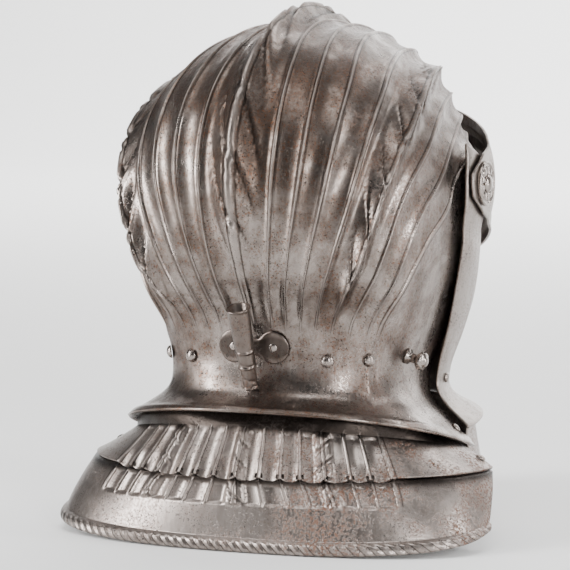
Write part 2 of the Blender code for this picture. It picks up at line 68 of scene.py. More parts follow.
# Each soft box's name, its place, the point that it is turned to, its width, height and power
SOFT_BOXES = [
    ("light_left", (1.05, 0.85, 0.50), (0.0, 0.0, 0.2), 0.36, 1.4, 36.0),
    ("light_right", (-1.00, 1.00, 0.30), (0.0, 0.0, 0.2), 0.16, 1.2, 17.0),
    ("light_edge", (-1.25, 0.00, 0.40), (0.0, 0.0, 0.2), 0.26, 1.2, 16.0),
    ("light_backdrop", (0.0, -3.0, 3.4), (0.0, -5.0, 0.4), 6.0, 1.6, 620.0),
    ("light_floor", (0.0, 0.6, 2.9), (0.0, -0.6, 0.0), 2.4, 1.6, 54.0),
]

back = Vector((
    -math.sin(CAMERA_TURN) * math.cos(CAMERA_RISE),
    math.cos(CAMERA_TURN) * math.cos(CAMERA_RISE),
    math.sin(CAMERA_RISE)))
camera = bpy.data.objects.new("camera", bpy.data.cameras.new("camera"))
camera.location = Vector((0.0, 0.0, AXIS_Z)) + back * CAMERA_DISTANCE
camera.rotation_euler = back.to_track_quat("Z", "Y").to_euler()
camera.data.sensor_width = SENSOR
camera.data.lens = CAMERA_DISTANCE / METRES_PER_PIXEL / PICTURE * SENSOR
camera.data.shift_x = (PICTURE / 2 - AXIS_AT[0]) / PICTURE
camera.data.shift_y = (AXIS_AT[1] - PICTURE / 2) / PICTURE
camera.data.clip_end = CAMERA_SIGHT
bpy.context.collection.objects.link(camera)
bpy.context.scene.camera = camera

for name, place, aim, width, height, power in SOFT_BOXES:
    lamp = bpy.data.lights.new(name, "AREA")
    lamp.shape = "RECTANGLE"
    lamp.size = width
    lamp.size_y = height
    lamp.energy = power
    light = bpy.data.objects.new(name, lamp)
    light.location = place
    light.rotation_euler = (Vector(place) - Vector(aim)).to_track_quat("Z", "Y").to_euler()
    bpy.context.collection.objects.link(light)

air = bpy.data.worlds.new("studio")
air.use_nodes = True
air.node_tree.nodes["Background"].inputs["Color"].default_value = AIR_COLOUR
air.node_tree.nodes["Background"].inputs["Strength"].default_value = AIR_STRENGTH
bpy.context.scene.world = air

floor_bm = bmesh.new()
bmesh.ops.create_grid(floor_bm, x_segments=2, y_segments=FLOOR_STRIPS, size=FLOOR_REACH)
for vert in floor_bm.verts:
    beyond = max(-BEND_START - vert.co.y, 0.0)
    bend = min(beyond / BEND_RADIUS, math.pi / 2)
    upright = max(beyond - BEND_RADIUS * math.pi / 2, 0.0)
    vert.co.z = BEND_RADIUS * (1 - math.cos(bend)) + upright - FLOOR_DROP
    if beyond > 0.0:
        vert.co.y = -BEND_START - BEND_RADIUS * math.sin(bend)
floor_mesh = bpy.data.meshes.new("floor")
floor_bm.to_mesh(floor_mesh)
floor_bm.free()
floor_mesh.shade_smooth()
pale = bpy.data.materials.new("pale_floor")
pale.use_nodes = True
pale.node_tree.nodes["Principled BSDF"].inputs["Base Color"].default_value = FLOOR_COLOUR
pale.node_tree.nodes["Principled BSDF"].inputs["Roughness"].default_value = FLOOR_ROUGHNESS
floor_mesh.materials.append(pale)
floor = bpy.data.objects.new("floor", floor_mesh)
bpy.context.collection.objects.link(floor)


# Skull: one sheet of steel hammered up over the head and fluted from a median comb to the ears.
# The median comb and one on each side are roped with a file, and the sheet draws in to the neck
# and flares to a flange. It is bright where it was rubbed, darker towards the top, with painted shade in
# the cuts.
HEIGHT = 0.316
SKULL_RISE = 0.31 * HEIGHT
SKULL_REACH = 0.131
SKULL_HALF = 0.100
SKULL_WALL = 0.0016
MEDIAN_COMB = 0.010
LATERAL_COMB = 0.008
HOLLOW = 0.0027
EDGE_TUCK = 0.0040
RIDGE_BEAD = 0.0004
RIDGE_GROOVE = 0.0004
FLANGE_LIP = 0.0008
LIP_AT = 0.985
LIP_HALF = 0.014
SKULL_ROWS = 168
EDGE_COLUMNS = 10
SLOPE_STEP = 0.002
# Round the hinge axis every sheet is flat and then bent in, the outer ones flat further out
FLAT_RADIUS = 0.014
FLAT_STEP = 0.006
FLAT_BLEND = 0.020
CHEEK_BEND = 0.040
# The ropes: their cuts' depth, turns and slant, and each cut's place and half width in a turn
ROPE_CUT = 0.0026
ROPE_TURNS = 13
ROPE_SLANT = 2.2
WIDE_CUT = (0.50, 0.15)
NARROW_CUT = (0.80, 0.07)
# Shares from brow to flange where a form rises, from the first to the second, and fades, from the
# third to the fourth
FLUTE_RUN = (0.0, 0.09, 0.71, 0.78)
COMB_RUN = (0.03, 0.25, 0.50, 0.70)
SIDE_COMB_RUN = (0.10, 0.26, 0.62, 0.76)
TUCK_RUN = (0.16, 0.30, 0.85, 0.95)
# Across a comb or a ridge, in columns
COMB_REACH = 0.85
SIDE_COMB_REACH = 0.7
COMB_CURVE = 1.6
ROPED_HEIGHTS = (0.10, 0.45)
BEAD_EDGE = (0.02, 0.05)
GROOVE_AT = 0.07
GROOVE_HALF = 0.03
# Arches from brow to flange: crest y and z, side x, y and z as shares of reach, rise and half
# width, the arch's squareness, and the angle where it ends
SKULL = [
    (-0.77, 0.43, 0.62, -0.54, 0.08, 2.0, 90),
    (-0.65, 0.71, 0.69, -0.40, 0.01, 2.05, 91),
    (-0.33, 0.94, 0.88, -0.21, -0.06, 2.15, 93),
    (0.17, 1.01, 0.97, 0.00, -0.14, 2.15, 96),
    (0.58, 0.89, 0.99, 0.13, -0.24, 2.35, 98),
    (0.87, 0.59, 0.980, 0.18, -0.37, 2.7, 99),
    (1.01, 0.20, 0.950, 0.21, -0.51, 2.95, 99),
    (1.01, -0.18, 0.915, 0.21, -0.65, 2.95, 99),
    (0.945, -0.51, 0.868, 0.20, -0.82, 2.85, 101),
    (0.825, -0.79, 0.805, 0.19, -0.99, 2.8, 101),
    (0.785, -1.02, 0.765, 0.19, -1.165, 2.75, 101),
    (0.815, -1.21, 0.815, 0.20, -1.345, 2.55, 101),
    (0.930, -1.31, 1.05, 0.21, -1.56, 2.4, 97),
]
# Angles of ridges 1 to 8 from the median comb, at even steps from brow to flange
RIDGES = [
    (4.0, 9.0, 15.0, 23.0, 33.0, 43.0, 52.0, 60.0),
    (5.0, 11.5, 18.5, 29.0, 41.0, 51.5, 61.0, 68.5),
    (6.2, 14.2, 23.0, 35.8, 48.5, 59.5, 69.0, 76.0),
    (8.0, 17.3, 28.4, 41.3, 53.5, 65.5, 75.0, 83.0),
    (7.2, 16.2, 26.5, 38.5, 49.5, 61.5, 72.0, 80.5),
    (6.1, 12.4, 20.2, 29.5, 40.2, 52.3, 63.0, 70.5),
    (4.3, 8.9, 14.6, 21.0, 29.0, 38.0, 48.5, 54.5),
    (4.3, 8.7, 14.2, 20.4, 28.0, 36.8, 46.5, 52.0),
    (4.3, 8.7, 14.2, 20.4, 28.0, 36.8, 46.5, 52.0),
]
TABLES = {"skull": SKULL, "ridges": RIDGES}
COMB_RIDGE = 5
LAST_RIDGE = 8
SKULL_EDGE = 9.5


def smooth(low, high, value):
    """Rises from 0 at low to 1 at high."""
    f = min(max((value - low) / (high - low), 0.0), 1.0)
    return f * f * (3 - 2 * f)


def near(distance, reach):
    """1 at no distance, falling to 0 at the reach."""
    return 1 - smooth(0.0, reach, abs(distance))


def along_run(run, share):
    """1 inside a run of shares, with its rise and its fade."""
    return smooth(run[0], run[1], share) * (1 - smooth(run[2], run[3], share))


def even(steps):
    """Shares from 0 to 1 in even steps."""
    return [k / steps for k in range(steps + 1)]


def mirrored(half):
    """Columns on both sides of the median plane from those on one side."""
    return sorted({-c for c in half} | set(half))


def hollow(f):
    """Depth, from 0 to 1, across the hollow between two ridges."""
    return 4 * f * (1 - f)


@functools.lru_cache(maxsize=None)
def row(table, share):
    """The table's row at a share of its length, on a smooth curve through its rows."""
    rows = TABLES[table]
    last = len(rows) - 1
    place = min(max(share, 0.0), 1.0) * last
    i = min(int(place), last - 1)
    f = place - i
    b, c = rows[i], rows[i + 1]
    a = rows[i - 1] if i > 0 else tuple(2 * m - n for m, n in zip(b, c))
    d = rows[i + 2] if i + 2 <= last else tuple(2 * n - m for m, n in zip(b, c))
    return tuple(
        0.5 * (2 * q + (r - p) * f + (2 * p - 5 * q + 4 * r - s) * f**2 + (3 * q - p - 3 * r + s) * f**3)
        for p, q, r, s in zip(a, b, c, d))


def arch(crest, side, squareness, degrees):
    """A point of a superellipse arch, on its crest at 0 degrees and widest at 90."""
    angle = math.radians(abs(degrees))
    power = 2.0 / squareness
    across = abs(math.sin(angle)) ** power
    along = math.copysign(abs(math.cos(angle)) ** power, math.cos(angle))
    return Vector((
        math.copysign(side[0] * across, degrees),
        side[1] + (crest[0] - side[1]) * along,
        side[2] + (crest[1] - side[2]) * along,
    ))


def cheeked(point, plane, layer):
    """The point brought to a turned form round the hinge axis, flat and then bent in."""
    away = math.hypot(point.y, point.z)
    start = FLAT_RADIUS + layer * FLAT_STEP
    cheek = 1.0 - smooth(start, start + FLAT_BLEND, away)
    bent = plane - max(away - FLAT_RADIUS, 0.0) ** 2 / (2 * CHEEK_BEND)
    point.x += (math.copysign(bent, point.x) - point.x) * cheek
    return point


def head_arch(table, half, share, degrees, fold=0.0):
    """A point of a table's arch round the head, its crest moved forward by a fold."""
    crest_y, crest_z, side_x, side_y, side_z, squareness, _ = row(table, share)
    crest = (crest_y * SKULL_REACH - fold, crest_z * SKULL_RISE)
    side = (side_x * half, side_y * SKULL_REACH, side_z * SKULL_RISE)
    return arch(crest, side, squareness, degrees)


def skull_base(share, column):
    """Whole columns are ridges, and 0 is the median comb."""
    end = row("skull", share)[-1]
    stops = (0.0, *row("ridges", share), end)
    c = abs(column)
    i = min(int(c), LAST_RIDGE)
    span = SKULL_EDGE - LAST_RIDGE if i == LAST_RIDGE else 1.0
    angle = stops[i] + (stops[i + 1] - stops[i]) * (c - i) / span
    point = head_arch("skull", SKULL_HALF, share, math.copysign(angle, column))
    return cheeked(point, SKULL_HALF, 0) if c > COMB_RIDGE else point


def twist(turns, share, slant, column):
    """Depth, from 0 to 1, of a rope's slanted cuts, a wide and a narrow one in turn."""
    place = (turns * share + slant * column) % 1.0
    wide = near(place - WIDE_CUT[0], WIDE_CUT[1])
    narrow = near(place - NARROW_CUT[0], NARROW_CUT[1])
    return max(wide, 0.5 * narrow)


def comb(share, c):
    """Height, from 0 to 1, of the median comb."""
    return max(1 - c / COMB_REACH, 0.0) ** COMB_CURVE * along_run(COMB_RUN, share)


def side_comb(share, c):
    """Height, from 0 to 1, of the comb on each side."""
    across = max(1 - abs(c - COMB_RIDGE) / SIDE_COMB_REACH, 0.0)
    return across ** COMB_CURVE * along_run(SIDE_COMB_RUN, share)


def skull_cut(share, column):
    """Depth, from 0 to 1, of the roping on the combs."""
    c = abs(column)
    median = twist(ROPE_TURNS, share, ROPE_SLANT, column) * smooth(*ROPED_HEIGHTS, comb(share, c))
    return median + twist(ROPE_TURNS, share, -ROPE_SLANT, c) * smooth(*ROPED_HEIGHTS, side_comb(share, c))


def skull_relief(share, column):
    """Height of the combs and ridges over the plain sheet, less the hollows, cuts and tucked edge."""
    c = abs(column)
    fluting = along_run(FLUTE_RUN, share)
    f = c - int(c)
    beside = min(f, 1 - f)
    relief = 0.0
    if c < LAST_RIDGE + 0.5:
        bead = 1 - smooth(*BEAD_EDGE, beside)
        groove = near(beside - GROOVE_AT, GROOVE_HALF)
        relief += (RIDGE_BEAD * bead - RIDGE_GROOVE * groove) * fluting
    if c < LAST_RIDGE:
        relief -= HOLLOW * hollow(f) * fluting
    relief += MEDIAN_COMB * comb(share, c) + LATERAL_COMB * side_comb(share, c)
    relief -= ROPE_CUT * skull_cut(share, column)
    relief += FLANGE_LIP * near(share - LIP_AT, LIP_HALF)
    return relief - EDGE_TUCK * smooth(LAST_RIDGE - 0.5, LAST_RIDGE + 0.7, c) * along_run(TUCK_RUN, share)


def skull_point(share, column):
    before = skull_base(max(share - SLOPE_STEP, 0.0), column)
    after = skull_base(min(share + SLOPE_STEP, 1.0), column)
    across = skull_base(share, column - SLOPE_STEP) - skull_base(share, column + SLOPE_STEP)
    outward = (after - before).cross(across).normalized()
    return skull_base(share, column) + outward * skull_relief(share, column)


# Where the columns stand between two ridges, crowded at the ridges' beads and grooves
PLAIN_STOPS = (0.0, 0.02, 0.045, 0.07, 0.1, 0.17, 0.3, 0.5, 0.7, 0.83, 0.9, 0.93, 0.955, 0.98)
ROPED_STOPS = (0.0, 0.025, 0.05, 0.07, 0.09, 0.13, 0.18, 0.23, 0.28, 0.34, 0.42, 0.5,
               0.58, 0.66, 0.72, 0.77, 0.82, 0.87, 0.91, 0.93, 0.95, 0.975)


def flutes(ridges, edge, plain_steps, ropes):
    """The columns of a fluted sheet, close together by a roped ridge and even past the last ridge."""
    columns = [ridges + (edge - ridges) * share for share in even(plain_steps)]
    for i in range(ridges):
        beside_rope = i in ropes or i + 1 in ropes
        columns += [i + f for f in (ROPED_STOPS if beside_rope else PLAIN_STOPS)]
    return mirrored(columns)


def piece(name, bm, material, body, node=None):
    """A finished piece from a mesh drawn about the hinge axis, in place of a CAD node if one is named."""
    bmesh.ops.translate(bm, verts=bm.verts, vec=(0.0, 0.0, AXIS_Z))
    mesh = bpy.data.meshes.new(name)
    bm.to_mesh(mesh)
    bm.free()
    mesh.shade_smooth()
    mesh.materials.append(material)
    made = bpy.data.objects.new(name, mesh)
    bpy.context.collection.objects.link(made)
    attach(made, body)
    if node:
        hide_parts(node)
    return made


CLOSE = 1e-6


def sheet(name, place, shares, columns, wall, material, body, node=None, gaps=(), shade_and_grime=None):
    """A plate whose outer side is place(share, column).

    Its gaps are boxes of share and column left open, and the last argument gives, at a share and column,
    how much painted shade and dirt darkens the plate there.
    """
    bm = bmesh.new()
    across = len(columns) - 1
    along = len(shares) - 1
    bmesh.ops.create_grid(bm, x_segments=across, y_segments=along, size=1.0)
    chart = bm.loops.layers.uv.new("chart")
    shade_and_dirt = bm.verts.layers.float.new("shade_and_dirt")
    placed = {}
    for vert in bm.verts:
        i = round((vert.co.y + 1) / 2 * along)
        j = round((vert.co.x + 1) / 2 * across)
        placed[vert] = (columns[j], shares[i])
        vert[shade_and_dirt] = shade_and_grime(shares[i], columns[j]) if shade_and_grime else 0.0
        vert.co = place(shares[i], columns[j])
    for face in bm.faces:
        for loop in face.loops:
            loop[chart].uv = placed[loop.vert]
    opened = []
    for low_share, high_share, low_column, high_column in gaps:
        inside = {
            vert for vert, (column, share) in placed.items()
            if low_share - CLOSE <= share <= high_share + CLOSE
            and low_column - CLOSE <= column <= high_column + CLOSE}
        opened += [face for face in bm.faces if inside.issuperset(face.verts)]
    bmesh.ops.delete(bm, geom=opened, context="FACES")
    bm.normal_update()
    middle = min(bm.faces, key=lambda face: abs(face.calc_center_median().x))
    centre = middle.calc_center_median()
    if middle.normal.dot(Vector((0.0, centre.y, centre.z + 2 * wall))) < 0:
        bmesh.ops.reverse_faces(bm, faces=bm.faces)
    made = piece(name, bm, material, body, node)
    solid = made.modifiers.new("wall", "SOLIDIFY")
    solid.thickness = wall
    solid.offset = -1.0
    return made


class Wire:
    """A node's output in a material; arithmetic on it adds Math nodes."""

    def __init__(self, tree, output=None):
        self.tree = tree
        self.output = output

    def node(self, kind, settings=(), inputs=(), out=0):
        """An output of a new node, from its type, its settings and its sockets' values or links."""
        made = self.tree.nodes.new(kind)
        for name, value in dict(settings).items():
            setattr(made, name, value)
        for name, value in dict(inputs).items():
            if isinstance(value, Wire):
                self.tree.links.new(value.output, made.inputs[name])
            else:
                made.inputs[name].default_value = value
        return Wire(self.tree, made.outputs[out])

    def maths(self, operation, first, second=0.0):
        return self.node("ShaderNodeMath", {"operation": operation}, {0: first, 1: second})

    def __add__(self, other):
        return self.maths("ADD", self, other)

    def __sub__(self, other):
        return self.maths("SUBTRACT", self, other)

    def __rsub__(self, other):
        return self.maths("SUBTRACT", other, self)

    def __mul__(self, other):
        return self.maths("MULTIPLY", self, other)

    __radd__ = __add__
    __rmul__ = __mul__

    def fract(self):
        return self.maths("FRACT", self)

    def part(self, number):
        """One of a vector's three values."""
        return self.node("ShaderNodeSeparateXYZ", {}, {0: self}, out=number)

    def size(self):
        return self.maths("ABSOLUTE", self)

    def rise(self, low, high):
        """From 0 to 1 as this value goes from low to high."""
        settings = {"interpolation_type": "SMOOTHSTEP"}
        return self.node("ShaderNodeMapRange", settings, {"Value": self, "From Min": low, "From Max": high})

    def noise(self, scale, detail=4.0, rough=0.55):
        grain = {"Scale": scale, "Detail": detail, "Roughness": rough}
        return self.node("ShaderNodeTexNoise", {}, {"Vector": self, **grain})

    def stretched(self, x, y, z):
        return self.node("ShaderNodeMapping", {}, {"Vector": self, "Scale": (x, y, z)})

    def blend(self, first, second):
        """From the first colour to the second as this value goes from 0 to 1, by Mix's colour sockets."""
        return self.node("ShaderNodeMix", {"data_type": "RGBA"}, {0: self, 6: first, 7: second}, out=2)


PALE = (0.32, 0.28, 0.255, 1.0)
MID = (0.118, 0.092, 0.077, 1.0)
UMBER = (0.060, 0.041, 0.032, 1.0)
RUST = (0.130, 0.050, 0.022, 1.0)
# The darkest colour: the dark of pits and cut lines, and painted shade in rope cuts, strand grooves and
# under lapped plates
GRIME_AND_SHADE = (0.014, 0.010, 0.008, 1.0)
ROPED_RIM = (0.87, 0.90)
STRANDS_A_TURN = 165
STRAND_SLANT = 9.0
PIT_DEPTH = 0.0005
CUT_HALF = (0.006, 0.026)
# Shares before a plate's upper edge and past its lower one, for flutes that run off it
OFF_TOP = -0.1
OFF_FOOT = 1.5


def worn_steel(name, umber, rust, dull=0.0, polish=0.28, ridges=0, line=0.09, fluted=(), roped=False):
    """Old steel: pale where it is rubbed, umber where it isn't, pitted and rusted in patches.

    Where ridges is more than 0 the plate has that many flutes a side, between the shares fluted, and a
    dark cut line beside each ridge, line columns from it. A roped plate's rolled rim has slanted strands,
    with painted shade in the grooves between them.
    """
    material = bpy.data.materials.new(name)
    material.use_nodes = True
    tree = material.node_tree
    shader = Wire(tree)
    place = shader.node("ShaderNodeTexCoord", out="Object")
    across = place.part(0)
    broad = place.noise(13.0, 3.0)
    cloud = place.noise(60.0, 6.0, 0.62)
    speckle = place.noise(520.0, 4.0, 0.6)
    fine = place.noise(1700.0, 3.0)

    # Tarnish in broad clouds, the colour darker higher up, and fine upright brushing
    upper = place.part(2).rise(0.10, 0.30)
    browned = broad * 0.55 + cloud * 0.45 + upper * 0.10
    tarnish = browned.rise(0.54 - 0.16 * umber, 0.90 - 0.20 * umber)
    colour = tarnish.blend(PALE, MID)
    blackened = broad * 0.4 + cloud * 0.35 + speckle * 0.25 + upper * 0.08
    deep = blackened.rise(0.58 - 0.12 * umber, 0.92 - 0.16 * umber)
    colour = (deep * umber + dull).blend(colour, UMBER)
    brushed = place.stretched(220.0, 220.0, 9.0).noise(1.0, 4.0)
    colour = ((brushed - 0.5).size() * 1.5).blend(colour, UMBER)

    # Rust in patches, most of it on the wearer's right, rusty freckles, and pits with dirt in them
    patch = place.noise(22.0, 5.0, 0.65).rise(0.44, 0.60)
    spots = place.noise(650.0, 3.0, 0.6).rise(0.46, 0.58)
    corroded = patch * spots * (across.rise(0.03, -0.07) * 0.75 + 0.25) * rust
    colour = corroded.blend(colour, RUST)
    freckles = place.noise(760.0, 2.0).rise(0.57, 0.63) * cloud.rise(0.36, 0.56)
    colour = (freckles * umber * 0.65).blend(colour, RUST)
    pits = place.noise(1000.0, 2.0).rise(0.59, 0.65) * cloud.rise(0.38, 0.56)
    colour = (pits * 0.85).blend(colour, GRIME_AND_SHADE)
    relief = speckle * 0.16 + cloud * 0.22 - pits * 0.6 + corroded * 0.4 + fine * 0.06
    # Painted shade in rope cuts and under lapped plates, and the darkening inside the ear plate's edge,
    # from the sheet's point attribute
    shade_and_dirt = shader.node("ShaderNodeAttribute", {"attribute_name": "shade_and_dirt"}, out="Fac")
    colour = (shade_and_dirt * 0.85).blend(colour, GRIME_AND_SHADE)

    if roped or ridges:
        chart = shader.node("ShaderNodeUVMap")
        share = chart.part(1)
    if roped:
        turn = shader.maths("ARCTAN2", across, place.part(1)) * (STRANDS_A_TURN / (2 * math.pi))
        strand = ((turn + share * STRAND_SLANT).fract() - 0.5).size()
        rim = share.rise(*ROPED_RIM)
        relief = relief + strand * rim * 5.0
        # Painted shade in the grooves between the strands
        colour = ((1 - strand.rise(0.0, 0.14)) * rim * 0.8).blend(colour, GRIME_AND_SHADE)
    if ridges:
        column = chart.part(0).size()
        beside = ((column + 0.5).fract() - 0.5).size()
        top, foot = fluted
        inside = share.rise(top, top + 0.04) * (1 - share.rise(foot - 0.04, foot))
        inside = inside * (1 - column.rise(ridges + 0.2, ridges + 0.3))
        crest = (1 - beside.rise(0.0, 0.05)) * inside
        colour = (crest * 0.55).blend(colour, PALE)
        cut = (1 - (beside - line).size().rise(*CUT_HALF)) * inside
        colour = (cut * 0.72).blend(colour, GRIME_AND_SHADE)

    rough = polish + tarnish * 0.10 + deep * (0.10 * umber) + corroded * 0.35 + pits * 0.2 + cloud * 0.08
    metal = 1 - corroded * 0.8 - pits * 0.3
    bump = shader.node("ShaderNodeBump", {}, {"Height": relief, "Distance": PIT_DEPTH, "Strength": 0.55})
    surface = tree.nodes["Principled BSDF"]
    finish = {"Base Color": colour, "Roughness": rough, "Metallic": metal, "Normal": bump}
    for socket, value in finish.items():
        tree.links.new(value.output, surface.inputs[socket])
    return material


skull_steel = worn_steel("skull_steel", umber=0.95, rust=0.35, dull=0.08, polish=0.21, ridges=LAST_RIDGE,
                         line=GROOVE_AT, fluted=(OFF_TOP, FLUTE_RUN[3]))
skull_columns = flutes(LAST_RIDGE, SKULL_EDGE, EDGE_COLUMNS, (0, COMB_RIDGE))
# Painted shade in the rope cuts, darker where the cuts are deeper
sheet("skull_plate", skull_point, even(SKULL_ROWS), skull_columns, SKULL_WALL, skull_steel,
      "skull", "skull", shade_and_grime=skull_cut)


# Bevor: the plate over chin and cheeks, hinged with the visor at the temples. It is one smooth
# sheet of steel, hammered round the chin, narrowed at the neck and flared over the neck plates.
ARM_GAP = 0.0015
FACE_WALL = 0.0015
BEVOR_HALF = SKULL_HALF + ARM_GAP + FACE_WALL
BEVOR_ROWS = 120
PLAIN_COLUMNS = 90
# Arches from the top edge to the flange, with the skull's columns
BEVOR = [
    (-0.940, -0.40, 1.000, 0.030, 0.194, 1.50, 100),
    (-0.925, -0.60, 1.000, 0.045, -0.040, 1.55, 101),
    (-0.880, -0.81, 0.990, 0.060, -0.306, 1.65, 98),
    (-0.800, -0.99, 0.945, 0.060, -0.570, 1.80, 96.5),
    (-0.700, -1.12, 0.875, 0.045, -0.857, 1.85, 95.5),
    (-0.610, -1.235, 0.785, 0.000, -1.143, 1.90, 96),
    (-0.620, -1.335, 0.795, 0.000, -1.310, 1.95, 96),
    (-0.770, -1.410, 0.975, 0.015, -1.490, 2.00, 94),
]
TABLES["bevor"] = BEVOR


def bevor_point(share, column):
    end = row("bevor", share)[-1]
    return cheeked(head_arch("bevor", BEVOR_HALF, share, column * end), BEVOR_HALF, 1)


face_steel = worn_steel("face_steel", umber=0.45, rust=0.3, polish=0.27)
plain_columns = mirrored(even(PLAIN_COLUMNS))
sheet("bevor_plate", bevor_point, even(BEVOR_ROWS), plain_columns, FACE_WALL, face_steel, "bevor", "bevor")


# Visor: the steel face plate, folded like a bellows, with two sights and two rows of breaths cut
# through it. Its arms lie flat over the bevor and turn on the same pins.
VISOR_HALF = BEVOR_HALF + ARM_GAP + FACE_WALL
BELLOWS = 0.0035
VISOR_FOLDS = 6
FOLD_CELLS = 2 * VISOR_FOLDS
ROWS_A_CELL = 8
ARM_CELLS = 14
COLUMNS_A_CELL = 8
# Cells of the visor's face, from row to row and from column to column, that a sight takes
SIGHT = (2, 3, 1, 4)
BREATH_ROWS = (6, 8)
BREATH_COLUMNS = (1, 3, 5)
# Arches from the brow edge to the lower edge, with the skull's columns
VISOR = [
    (-0.870, 0.510, 1.0, 0.000, 0.184, 1.60, 90),
    (-0.945, 0.327, 1.0, 0.008, 0.110, 1.60, 101),
    (-1.020, 0.080, 1.0, 0.015, 0.030, 1.62, 101),
    (-1.080, -0.180, 1.0, 0.015, -0.050, 1.62, 100),
    (-1.065, -0.430, 1.0, 0.008, -0.120, 1.62, 99),
    (-0.990, -0.640, 1.0, 0.000, -0.184, 1.65, 90),
]
TABLES["visor"] = VISOR


def visor_point(share, column):
    degrees = column * row("visor", share)[-1]
    fold = BELLOWS * abs(2 * ((share * VISOR_FOLDS) % 1) - 1)
    fold *= smooth(0.0, 0.35, math.cos(math.radians(degrees)))
    return cheeked(head_arch("visor", VISOR_HALF, share, degrees, fold), VISOR_HALF, 2)


openings = [SIGHT] + [(r, r + 1, k, k + 1) for r in BREATH_ROWS for k in BREATH_COLUMNS]
visor_gaps = []
for side in (-1, 1):
    for top, foot, start, end in openings:
        low, high = sorted((side * start / ARM_CELLS, side * end / ARM_CELLS))
        visor_gaps.append((top / FOLD_CELLS, foot / FOLD_CELLS, low, high))
visor_columns = mirrored(even(ARM_CELLS * COLUMNS_A_CELL))
sheet("visor_plate", visor_point, even(FOLD_CELLS * ROWS_A_CELL), visor_columns, FACE_WALL, face_steel,
      "visor", "visor", visor_gaps)


# Neck plates: steel strips, two behind on the skull and two in front on the bevor, each lapped
# under the one above. The rear ones carry on the skull's flutes and ropes, the upper one has a
# scalloped edge, and the lower ones end in a rolled rim that is roped with a file.
GORGET_WALL = 0.0013
GORGET_HEIGHT = 0.25 * HEIGHT
GORGET_REACH = 0.138
GORGET_HALF = 0.132
FRONT_REACH = 0.134
FRONT_HALF = 0.096
FRONT_SPAN = 0.96
FLANGE_DROP = 1.31
NECK_ROPE = 0.0022
NECK_ROPE_BAND = 0.45
NECK_ROPE_CUT = 0.0012
NECK_ROPE_TURNS = 3.5
NECK_ROPE_SLANT = 1.2
NECK_HOLLOW = 0.0021
NECK_GROOVE_AT = 0.09
NECK_GROOVE_HALF = 0.04
SCALLOP = 0.0030
SCALLOPED = (0.7, 1.0)
RIM_ROLL = 0.0026
OVERHANG = 0.007
LEAST_OVERHANG = 0.25
TUCK_GAP = 0.0009
# Shares below the lap over which the painted shadow under the plate above fades out
LAP_SHADOW_FADE = 0.16
UNDER_STEP = 0.004
LAP = 0.2
LAP_START = 0.93
LAP_END = 0.985
BORDER = 0.5
ROLL_CENTRE = 0.93
ROLL_HALF = 0.07
NECK_ROPES = (0, 4)
NECK_EDGE = 10.0
NECK_EDGE_COLUMNS = 30
UPPER_ROWS = 60
LOWER_ROWS = 110
# Angles of the ridges from the median one
NECK_RIDGES = (6.9, 12.9, 18.3, 25.2, 32.4, 38.0, 44.3)
# Arches from the lap to the lower edge: crest y and z, side x, y and z as shares of reach, height
# and half width, and the arch's squareness
REAR_UPPER = [
    (0.845, 0.110, 0.790, 0.200, 0.345, 1.95),
    (0.905, 0.290, 0.875, 0.250, 0.400, 1.95),
    (0.964, 0.450, 0.955, 0.304, 0.457, 1.95),
]
REAR_LOWER = [
    (0.958, 0.480, 0.958, 0.315, 0.485, 1.95),
    (0.970, 0.620, 0.982, 0.380, 0.610, 2.15),
    (0.984, 0.810, 1.003, 0.465, 0.755, 2.35),
    (1.000, 1.000, 1.011, 0.530, 0.880, 2.5),
]
FRONT_UPPER = [
    (-0.820, 0.200, 0.985, 0.030, 0.310, 1.95),
    (-0.875, 0.360, 1.010, 0.060, 0.420, 1.9),
    (-0.930, 0.520, 1.030, 0.090, 0.530, 1.9),
]
FRONT_LOWER = [
    (-0.935, 0.550, 1.033, 0.100, 0.560, 1.9),
    (-0.970, 0.780, 1.040, 0.140, 0.760, 1.95),
    (-1.000, 1.000, 1.040, 0.160, 0.940, 2.0),
]
TABLES.update(rear_upper=REAR_UPPER, rear_lower=REAR_LOWER)
TABLES.update(front_upper=FRONT_UPPER, front_lower=FRONT_LOWER)


def neck_angle(column):
    """Whole columns are ridges, and 0 is the median one."""
    stops = (0.0, *NECK_RIDGES, 90.0)
    c = abs(column)
    i = min(int(c), len(NECK_RIDGES))
    span = NECK_EDGE - i if i == len(NECK_RIDGES) else 1.0
    return math.copysign(stops[i] + (stops[i + 1] - stops[i]) * (c - i) / span, column)


def under(host, share, column, depth):
    """The point at a depth under the host's outer side."""
    along = host(min(share + UNDER_STEP, 1.0), column) - host(share - UNDER_STEP, column)
    across = host(share, column + UNDER_STEP) - host(share, column - UNDER_STEP)
    point = host(share, column)
    normal = along.cross(across).normalized()
    return point - normal * math.copysign(depth, normal.x * point.x + normal.y * point.y)


def lapped(host, share, column, wall, drape=0.0):
    """A point of the lap under the host's lower edge, which hangs away from it by the drape."""
    f = share / LAP
    return under(host, LAP_START + (LAP_END - LAP_START) * f, column, wall + TUCK_GAP + drape * f)


def neck_arch(table, reach, half, share, degrees):
    crest_y, crest_z, side_x, side_y, side_z, squareness = row(table, (share - LAP) / (1 - LAP))
    top = -FLANGE_DROP * SKULL_RISE
    crest = (crest_y * reach, top - crest_z * GORGET_HEIGHT)
    side = (side_x * half, side_y * reach, top - side_z * GORGET_HEIGHT)
    return arch(crest, side, squareness, degrees)


def neck_cut(share, column):
    """Depth, from 0 to 1, of the roping on a neck plate."""
    cut = 0.0
    for rope in NECK_ROPES:
        beside = abs(column) - rope if rope else column
        band = smooth(0.1, 0.5, 1 - abs(beside) / NECK_ROPE_BAND)
        cut += twist(NECK_ROPE_TURNS, share, NECK_ROPE_SLANT, beside) * band
    return cut


